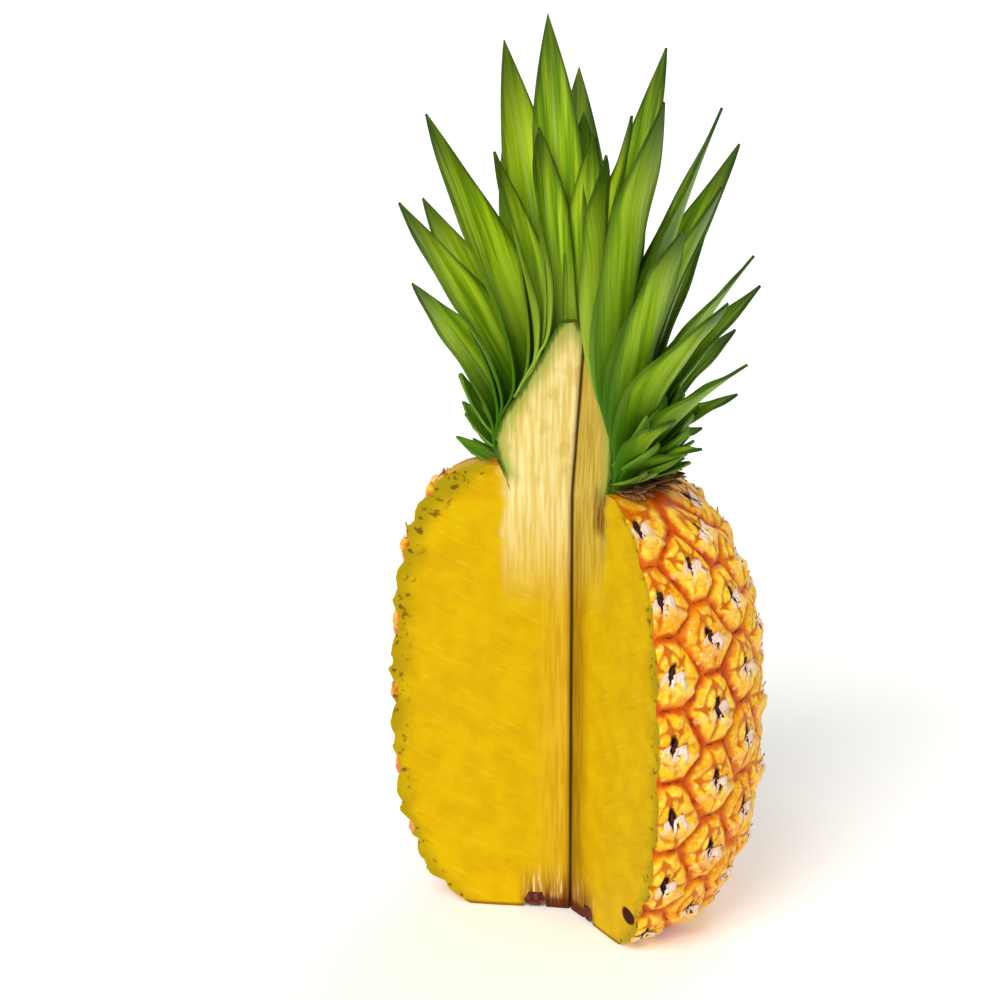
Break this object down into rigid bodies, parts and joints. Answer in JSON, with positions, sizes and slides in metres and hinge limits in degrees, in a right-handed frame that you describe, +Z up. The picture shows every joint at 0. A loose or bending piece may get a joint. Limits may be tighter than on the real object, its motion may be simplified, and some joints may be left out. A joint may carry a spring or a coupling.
{
  "type": "cut pineapple",
  "caption": "Standing pineapple with its leafy crown, cut open by a lengthwise wedge from rind to core that shows the flesh and the pale heart of the crown.",
  "frame": {"origin": "on the fruit's axis, on the flat end of the stem that the fruit stands on", "axes": "+Z up along the fruit towards its crown; the cut wedge opens towards -Y and -X, and -Y faces the viewer"},
  "size_m": [0.117, 0.1141, 0.2858],
  "materials": {
    "rind": "waxy orange-yellow rind over moist yellow flesh",
    "heart": "moist pale cut stem",
    "leaf": "waxy green leaf, satin"
  },
  "bodies": {
    "root": {"fruit": "rind", "crown_heart": "heart", "leaf_01": "leaf", "leaf_02": "leaf", "leaf_03": "leaf", "leaf_04": "leaf", "leaf_05": "leaf", "leaf_06": "leaf", "leaf_07": "leaf", "leaf_08": "leaf", "leaf_09": "leaf", "leaf_10": "leaf", "leaf_11": "leaf", "leaf_12": "leaf", "leaf_13": "leaf", "leaf_14": "leaf", "leaf_15": "leaf", "leaf_16": "leaf", "leaf_17": "leaf", "leaf_18": "leaf", "leaf_19": "leaf", "leaf_20": "leaf", "leaf_21": "leaf", "leaf_22": "leaf", "leaf_23": "leaf", "leaf_24": "leaf", "leaf_25": "leaf", "leaf_26": "leaf", "leaf_27": "leaf", "leaf_28": "leaf", "leaf_29": "leaf", "leaf_30": "leaf", "leaf_31": "leaf", "leaf_32": "leaf", "leaf_33": "leaf", "leaf_34": "leaf", "leaf_35": "leaf", "leaf_36": "leaf", "leaf_37": "leaf", "leaf_38": "leaf", "leaf_39": "leaf", "leaf_40": "leaf"}
  },
  "joints": []
}
